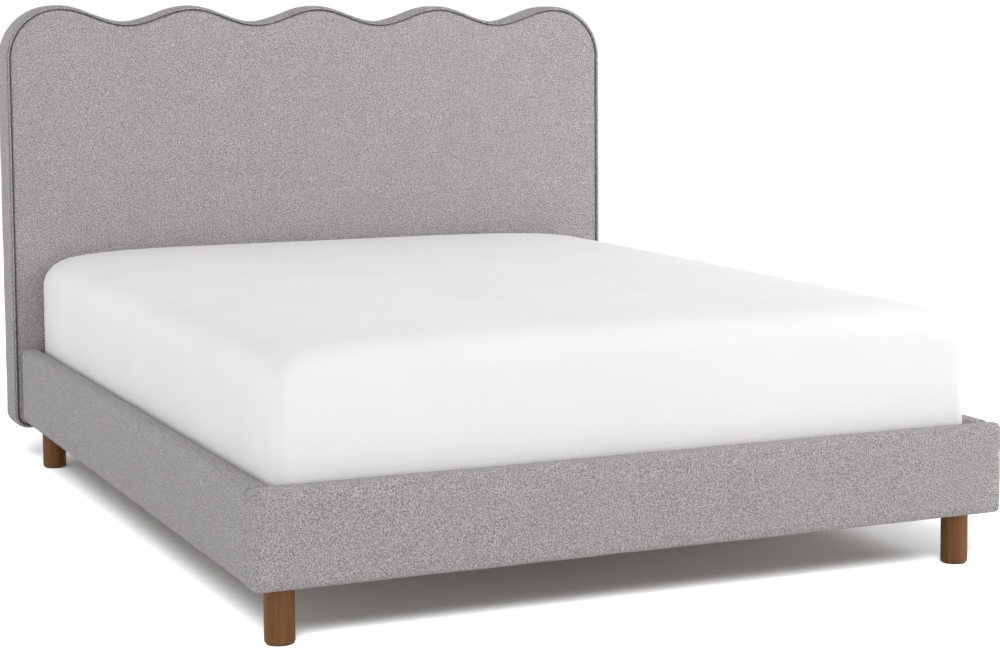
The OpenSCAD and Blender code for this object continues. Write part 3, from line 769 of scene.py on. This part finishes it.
DUST_IN, STAPLE_IN, STAPLE_PITCH = 9 * MM, 17 * MM, 55 * MM
dust = face_sheet("headboard_dust_cloth", DUST_IN, 16 * MM, [0, 0.004, 0.010, 0.018],
                  lambda d: np.full(d.shape, BACK_Y + 0.5 * MM), DUST)
co = coords(dust)
below_top = CREST_Z - WAVE_DEPTH / 2 - co[:, 2]
edge_far = np.minimum.reduce([HALF_W - np.abs(co[:, 0]), co[:, 2] - SEAM_LOW, below_top])
slack = np.clip((edge_far - 20 * MM) / (150 * MM), 0, 1)
sag = 0.9 * MM * slack * (0.6 + 0.5 * ripple(co, 260 * MM, 51))
co[:, 1] += sag + 0.3 * MM * ripple(co, 70 * MM, 52) * slack
co[:, 1] = np.maximum(co[:, 1], BACK_Y + 0.4 * MM)
set_coords(dust, co)
thicken(dust, 0.5 * MM, 1.0)
finish_piece(dust, BED, "dust_cloth", "headboard_dust_cover")
pts, nrm = seam_line(2 * MM)
staples = []
along = np.concatenate([[0], np.cumsum(np.linalg.norm(np.diff(pts, axis=0), axis=1))])
for s in np.arange(20 * MM, along[-1], STAPLE_PITCH):
    i = int(np.searchsorted(along, s))
    p, n = pts[i] - nrm[i] * STAPLE_IN, nrm[i]
    staples.append(staple((p[0], BACK_Y + 1.1 * MM, p[1]), (-n[1], 0, n[0]), (0, 1, 0)))
verts, faces = merge(staples)
back_staples = new_object("headboard_back_staples", verts, faces, ZINC, smooth=False)
finish_piece(back_staples, BED, "zinc_steel")

# ---------------------------------------------------------------- rails

RAIL_R = 18 * MM
SKIN, INNER_SKIN = 2.4 * MM, 0.6 * MM  # how far the start shape lies inside the CAD cover
JOINT_GAP, END_GAP = 3.6 * MM, 0.4 * MM
PAD_END, PAD_THINNER, PAD_R = 9 * MM, 14 * MM, 6 * MM


def rail_cap(inner_dir):
    """How far each point may swell: hardly on the side that faces the mattress or where rails meet."""

    def cap(nrm):
        inward = nrm @ np.array(inner_dir, float)
        at_joint = (inner_dir[1] == 0) & (nrm[:, 1] < -0.5)
        return np.where(at_joint, 0.1 * MM, np.where(inward > 0.5, 0.3 * MM, 3.0 * MM))

    return cap


def side_end(n):
    return 5 * MM


def foot_end(n):
    """The foot rail's ends: a full round at the front, a tight one at the back, soft above and below."""
    front = max(-n[0], 0) ** 2
    back = max(n[0], 0) ** 2
    return (16 * front + 4.5 * back + 12 * (1 - front - back)) * MM


def pad_end(n):
    return PAD_R


def rail(name, axis, inner_dir, round_end, seed):
    """A rail's fabric, blown up from a bar just inside the CAD cover. Returns the padding inside it."""
    lo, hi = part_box(f"{name}_cover")
    centre, size = (lo + hi) / 2, hi - lo
    thick, tall = size[1 - axis], size.z
    middle = centre + Vector(inner_dir) * (SKIN - INNER_SKIN) / 2
    first = lo[axis] + (JOINT_GAP if axis == 1 else END_GAP)
    cover = bar(f"{name}_fabric", axis, first, hi[axis] - END_GAP, middle, thick - SKIN - INNER_SKIN,
                tall + 1 * MM, RAIL_R - SKIN, round_end, round_end, 17 * MM, UPHOLSTERY)
    swell(cover, rail_cap(inner_dir))
    subdivide(cover, 2)
    uneven(cover, 0.16 * MM, 24 * MM, seed)
    uneven(cover, 0.35 * MM, 160 * MM, seed + 1)
    finish_piece(cover, BED, "upholstery", f"{name}_cover")
    return bar(f"{name}_padding", axis, lo[axis] + PAD_END, hi[axis] - PAD_END, centre, thick - PAD_THINNER,
               tall - PAD_THINNER, RAIL_R - PAD_R, pad_end, pad_end, 30 * MM, FOAM)


RAILS = {"left_rail": (1, (1, 0, 0), side_end, 61),
         "right_rail": (1, (-1, 0, 0), side_end, 71),
         "foot_rail": (0, (0, 1, 0), foot_end, 81)}
pads = {name: rail(name, *shape) for name, shape in RAILS.items()}
for name, pad in pads.items():
    finish_piece(pad, BED, "foam", f"{name}_foam")

# ---------------------------------------------------------------- mattress and fitted sheet

PLAN_R, TOP_R, LOW_R = 29 * MM, 58 * MM, 30 * MM
PLAN_ARC, TOP_ARC, LOW_ARC = 4, 6, 4
CROWN, END_CROWN, CROWN_POWER = 28 * MM, 4 * MM, 6.4
START = 1.6 * MM  # how far the start shape lies inside the CAD mattress
SEAM_UP, SEAM_HALF, SEAM_DEEP = 62 * MM, 16 * MM, 0.8 * MM


def plan_ring(half_x, half_y, r, nx, ny):
    """Points round a rounded rectangle from the middle of its lower right corner, anticlockwise."""
    turns = [(1, -1), (1, 1), (-1, 1), (-1, -1)]
    pts = []
    for i, (sx, sy) in enumerate(turns):
        start, n = 90 * i - 45, (ny, nx)[i % 2]
        centre = np.array([sx * (half_x - r), sy * (half_y - r)])
        for a in np.radians(np.linspace(start, start + 45, PLAN_ARC + 1)):
            pts.append(centre + r * np.array([math.cos(a), math.sin(a)]))
        next_x, next_y = turns[(i + 1) % 4]
        following = np.array([next_x * (half_x - r), next_y * (half_y - r)])
        out = pts[-1] - centre
        for t in np.arange(1, n) / n:
            pts.append(centre + out + (following - centre) * t)
        for a in np.radians(np.linspace(start + 45, start + 90, PLAN_ARC + 1))[:-1]:
            pts.append(following + r * np.array([math.cos(a), math.sin(a)]))
    return np.array(pts)


def cap_grid(ring, cols, rows):
    """Grid that fills a ring of points. Returns the inner points, and the index of each grid point in
    the ring and then the inner points."""
    m = len(ring)
    index = np.full((rows + 1, cols + 1), -1)
    for j in range(rows + 1):
        index[j, cols] = j
        index[j, 0] = (2 * rows + cols - j) % m
    for i in range(cols + 1):
        index[rows, i] = (rows + cols - i) % m
        index[0, i] = (2 * rows + cols + i) % m
    low, high = ring[index[0]], ring[index[rows]]
    left, right = ring[index[:, 0]], ring[index[:, cols]]
    us = (low[:, 0] - low[0, 0]) / (low[-1, 0] - low[0, 0])
    vs = (left[:, 1] - left[0, 1]) / (left[-1, 1] - left[0, 1])
    inner = []
    for j in range(1, rows):
        for i in range(1, cols):
            u, v = us[i], vs[j]
            flat = (1 - v) * ((1 - u) * low[0] + u * low[-1]) + v * ((1 - u) * high[0] + u * high[-1])
            index[j, i] = m + len(inner)
            inner.append((1 - v) * low[i] + v * high[i] + (1 - u) * left[j] + u * right[j] - flat)
    return np.array(inner), index


def crowned_block(name, lo, hi, step, material):
    """Block of quads with round edges, and a top that falls away towards its sides."""
    mid, half = (lo + hi) / 2, (hi - lo) / 2
    nx, ny = (int(round(2 * (half[k] - TOP_R) / step)) for k in (0, 1))
    profile = [(LOW_R * (1 - math.sin(a)), lo[2] + LOW_R * (1 - math.cos(a)))
               for a in np.radians(np.linspace(0, 90, LOW_ARC + 1))]
    profile += [(0, z) for z in span(lo[2] + LOW_R, hi[2] - TOP_R, step)[1:-1]]
    profile += [(TOP_R * (1 - math.cos(a)), hi[2] - TOP_R * (1 - math.sin(a)))
                for a in np.radians(np.linspace(0, 90, TOP_ARC + 1))]
    rings = []
    for inset, z in profile:
        ring = plan_ring(half[0] - inset, half[1] - inset, PLAN_R, nx, ny)
        rings.append(np.column_stack([ring, np.full(len(ring), z)]))
    verts, faces = loft(rings, False)
    cols, rows = nx + 2 * PLAN_ARC, ny + 2 * PLAN_ARC
    for first, ring, flip in ((0, rings[0], True), (len(verts) - len(rings[0]), rings[-1], False)):
        inner, index = cap_grid(ring[:, :2], cols, rows)
        base = len(verts)
        verts = np.concatenate([verts, np.column_stack([inner, np.full(len(inner), ring[0, 2])])])
        index = np.where(index < len(ring), index + first, index - len(ring) + base)
        for j in range(rows):
            for i in range(cols):
                quad = (index[j, i], index[j, i + 1], index[j + 1, i + 1], index[j + 1, i])
                faces.append(tuple(int(k) for k in (quad[::-1] if flip else quad)))
    rise = np.clip((verts[:, 2] - mid[2]) / (hi[2] - TOP_R - mid[2]), 0, 1)
    fall = CROWN * np.abs(verts[:, 0] / half[0]) ** CROWN_POWER
    fall += END_CROWN * np.abs(verts[:, 1] / half[1]) ** CROWN_POWER
    verts[:, 2] -= rise * fall
    verts[:, :2] += mid[:2]
    return new_object(name, verts, faces, material)


def mattress_cap(nrm):
    """The underside stays flat on the slats; the top and the sides may swell by up to 2.6 mm, and the lower
    rounding by less.
    """
    under = np.clip((-nrm[:, 2] - 0.4) / 0.4, 0, 1)
    return (2.6 * (1 - under) + 0.3 * under) * MM


bed_lo, bed_hi = np.array(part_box("mattress"))
mattress = crowned_block("mattress_body", bed_lo + START, bed_hi - START, 27 * MM, TICKING)
swell(mattress, mattress_cap)
co = coords(mattress)
under = normals(mattress)[:, 2] < -0.8
co[:, 2] = np.where(under, bed_lo[2] + 0.3 * MM, co[:, 2])
set_coords(mattress, co)
shell_co = coords(mattress)
shell_faces = [list(p.vertices) for p in mattress.data.polygons]
shell_normals = normals(mattress)
groove = np.clip(1 - np.abs(shell_co[:, 2] - bed_lo[2] - SEAM_UP) / SEAM_HALF, 0, 1)
set_coords(mattress, shell_co - shell_normals * (SEAM_DEEP * groove)[:, None])
subdivide(mattress, 1)
finish_piece(mattress, "mattress_set", "mattress_ticking", "mattress")

# The sheet follows the mattress, turns under it, and ends 60 mm in from the edge of the underside
HEM = 60 * MM
offset = shell_co + shell_normals * 1.0 * MM
centre = (bed_lo + bed_hi) / 2
half = (bed_hi - bed_lo) / 2
keep = []
for f in shell_faces:
    c = shell_co[f].mean(0)
    n = shell_normals[f].mean(0)
    inner = (np.abs(c - centre) < half - HEM)[:2].all()
    if not (n[2] < -0.8 and inner):
        keep.append(f)
used = sorted({i for f in keep for i in f})
renumber = {old: new for new, old in enumerate(used)}
sheet_faces = [[renumber[i] for i in f] for f in keep]
sheet = new_object("fitted_sheet_cloth", offset[used], sheet_faces, SHEET)
subdivide(sheet, 1)
co, nrm = coords(sheet), normals(sheet)
rel = np.abs(co - centre) - half
corner = np.clip(1 + (rel[:, 0] + rel[:, 1]) / (190 * MM), 0, 1)
low = np.clip((centre[2] - co[:, 2]) / half[2], 0, 1)
side = np.clip(1 - np.abs(nrm[:, 2]) * 1.6, 0, 1)
pull = np.sin((co[:, 0] - co[:, 1]) * 60 + co[:, 2] * 45 + 2 * ripple(co, 260 * MM, 92))
amount = side * corner**2 * (0.3 + 0.9 * low) * 0.55 * MM * pull
amount += side * low**2 * 0.45 * MM * ripple(co, 75 * MM, 93)
amount += (1 - side) * 0.35 * MM * ripple(co, 420 * MM, 94)
amount = np.where(nrm[:, 2] < -0.7, 0, amount)
set_coords(sheet, co + nrm * amount[:, None])
thicken(sheet, 0.6 * MM, 1.0)
finish_piece(sheet, "mattress_set", "sheet_cotton", "fitted_sheet")

# ---------------------------------------------------------------- straps under the slats, and felt glides

web_lo, web_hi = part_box("slat_webbing")
SLATS = 12
slat_boxes = [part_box(f"slat_{i}") for i in range(1, SLATS + 1)]
STRAP_W, STRAP_COLS = 40 * MM, 8
STRAP_X, STRAP_EDGE = web_hi.x - STRAP_W / 2, 0.15 * MM
strap_parts, strap_staples = [], []
for sx in (-1, 1):
    xs = sx * STRAP_X + np.linspace(-STRAP_W / 2, STRAP_W / 2, STRAP_COLS + 1)
    edge = np.abs(np.linspace(-1, 1, STRAP_COLS + 1)) ** 6 * 0.25 * MM
    rings = []
    for y in span(web_lo.y, web_hi.y, 9 * MM):
        gap = min(max(lo.y - y, y - hi.y, 0) for lo, hi in slat_boxes)
        droop = -1.6 * MM * min(gap / (30 * MM), 1) ** 1.5
        top = [(x, y, web_hi.z - STRAP_EDGE + droop - e) for x, e in zip(xs, edge)]
        low = [(x, y, web_lo.z + STRAP_EDGE + droop + e) for x, e in zip(xs, edge)]
        rings.append(np.array(top + low[::-1]))
    verts, faces = loft(rings, False)
    m = len(rings[0])
    n = len(verts) - m
    for k in range(STRAP_COLS):
        faces.append((k, k + 1, m - 2 - k, m - 1 - k)[::-1])
        faces.append((n + k, n + k + 1, n + m - 2 - k, n + m - 1 - k))
    strap_parts.append((verts, faces))
    for lo, hi in slat_boxes:
        for dy in (-14 * MM, 14 * MM):
            for dx in (-9 * MM, 9 * MM):
                place = (sx * STRAP_X + dx, (lo.y + hi.y) / 2 + dy, web_lo.z - 0.05 * MM)
                strap_staples.append(staple(place, (1, 0, 0), (0, 0, -1)))
verts, faces = merge(strap_parts)
finish_piece(new_object("slat_straps", verts, faces, WEBBING), BED, "webbing", "slat_webbing")
verts, faces = merge(strap_staples)
staple_piece = new_object("slat_strap_staples", verts, faces, ZINC, smooth=False)
finish_piece(staple_piece, BED, "zinc_steel")


def turned(name, centre, profile, material, steps=40):
    """A profile of (radius, z) turned round a vertical axis; its first and last points are on the axis."""
    rings = []
    for a in np.linspace(0, 2 * math.pi, steps + 1)[:-1]:
        rings.append(np.array([(centre[0] + r * math.cos(a), centre[1] + r * math.sin(a), z)
                               for r, z in profile]))
    verts, faces = loft(rings, True, close_ring=False)
    return weld(new_object(name, verts, faces, material), 2e-6)


for end in ("front", "rear"):
    for hand in ("left", "right"):
        node = f"{end}_{hand}_glide"
        lo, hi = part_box(node)
        r, h = (hi.x - lo.x) / 2, hi.z - lo.z
        profile = [(0, lo.z), (r * 0.6, lo.z), (r - 1.2 * MM, lo.z + 0.05 * MM),
                   (r - 0.3 * MM, lo.z + 0.7 * MM), (r, lo.z + h / 2), (r - 0.3 * MM, hi.z - 0.7 * MM),
                   (r - 1.0 * MM, hi.z), (r * 0.6, hi.z), (0, hi.z)]
        pad = turned(f"{end}_{hand}_felt", (lo + hi) / 2, profile, FELT)
        finish_piece(pad, BED, "felt", node)

# ---------------------------------------------------------------- floor, light and camera

ground = Nodes("studio_floor")
mottle = ground.noise(0.8, 2.0, 0.5)
pale = ground.mix(mottle, rgb(0.93, 0.93, 0.93), rgb(0.95, 0.95, 0.95))
ground.set(Base_Color=pale, Roughness=0.9, Specular_IOR_Level=0.1)
FLOOR_R, RIM = 7.5, 48
rim = [(FLOOR_R * math.cos(a), FLOOR_R * math.sin(a), 0)
       for a in np.linspace(0, 2 * math.pi, RIM + 1)[:-1]]
floor = new_object("studio_floor", rim, [tuple(range(RIM))], ground.material, smooth=False)

HORIZON_LIGHT, ZENITH_LIGHT, ZENITH_AT = 1.65, 0.70, 0.55
KEY_WATTS, FLOOR_WATTS = 58, 2070

scene = bpy.context.scene
scene.view_settings.view_transform = "Standard"
scene.view_settings.look = "None"
scene.view_settings.exposure = 0.0
scene.view_settings.gamma = 1.0

# The world lights the bed more from the sides than from above, and shows white to the camera
world = bpy.data.worlds.new("studio")
scene.world = world
world.use_nodes = True
tree = world.node_tree
tree.nodes.clear()
world_out = tree.nodes.new("ShaderNodeOutputWorld")
seen = tree.nodes.new("ShaderNodeBackground")
seen.inputs[0].default_value = rgb(1, 1, 1)
seen.inputs[1].default_value = 1.0
lit = tree.nodes.new("ShaderNodeBackground")
lit.inputs[0].default_value = rgb(1, 1, 1)
direction = tree.nodes.new("ShaderNodeTexCoord")
split = tree.nodes.new("ShaderNodeSeparateXYZ")
tree.links.new(direction.outputs["Generated"], split.inputs[0])
height = tree.nodes.new("ShaderNodeMapRange")
height.interpolation_type = "SMOOTHSTEP"
tree.links.new(split.outputs["Z"], height.inputs["Value"])
for socket, value in (("From Min", 0.0), ("From Max", ZENITH_AT), ("To Min", HORIZON_LIGHT),
                      ("To Max", ZENITH_LIGHT)):
    height.inputs[socket].default_value = value
tree.links.new(height.outputs[0], lit.inputs[1])
path = tree.nodes.new("ShaderNodeLightPath")
either = tree.nodes.new("ShaderNodeMixShader")
tree.links.new(path.outputs["Is Camera Ray"], either.inputs[0])
tree.links.new(lit.outputs[0], either.inputs[1])
tree.links.new(seen.outputs[0], either.inputs[2])
tree.links.new(either.outputs[0], world_out.inputs[0])


def softbox(name, place, aim, size, watts):
    data = bpy.data.lights.new(name, "AREA")
    data.shape = "RECTANGLE"
    data.size, data.size_y = size
    data.energy = watts
    lamp = bpy.data.objects.new(name, data)
    scene.collection.objects.link(lamp)
    lamp.location = place
    lamp.rotation_euler = (Vector(aim) - Vector(place)).to_track_quat("-Z", "Y").to_euler()
    return lamp


softbox("key_light", (3.4, -1.9, 2.8), (0, 0.4, 0.7), (2.0, 1.8), KEY_WATTS)

# A wide light from the front reaches the floor alone, which keeps the open floor white
flood = softbox("floor_light", (-3.2, -6.5, 5.6), (0, 0, 0), (6.0, 3.2), FLOOR_WATTS)
floor_only = bpy.data.collections.new("floor_only")
floor_only.objects.link(floor)
flood.light_linking.receiver_collection = floor_only
flood.data.cycles.max_bounces = 0

CAMERA_PLACE, CAMERA_DOWN, CAMERA_RIGHT = (-2.0211, -5.2358, 1.1586), 5.3, 26.6

cam_data = bpy.data.cameras.new("camera")
cam_data.sensor_width = 36.0
cam_data.lens = 85.4172
cam_data.shift_x, cam_data.shift_y = -0.180, -0.086
cam_data.clip_end = 200
cam = bpy.data.objects.new("camera", cam_data)
scene.collection.objects.link(cam)
cam.location = CAMERA_PLACE
cam.rotation_euler = (math.radians(90 - CAMERA_DOWN), 0, math.radians(-CAMERA_RIGHT))
scene.camera = cam
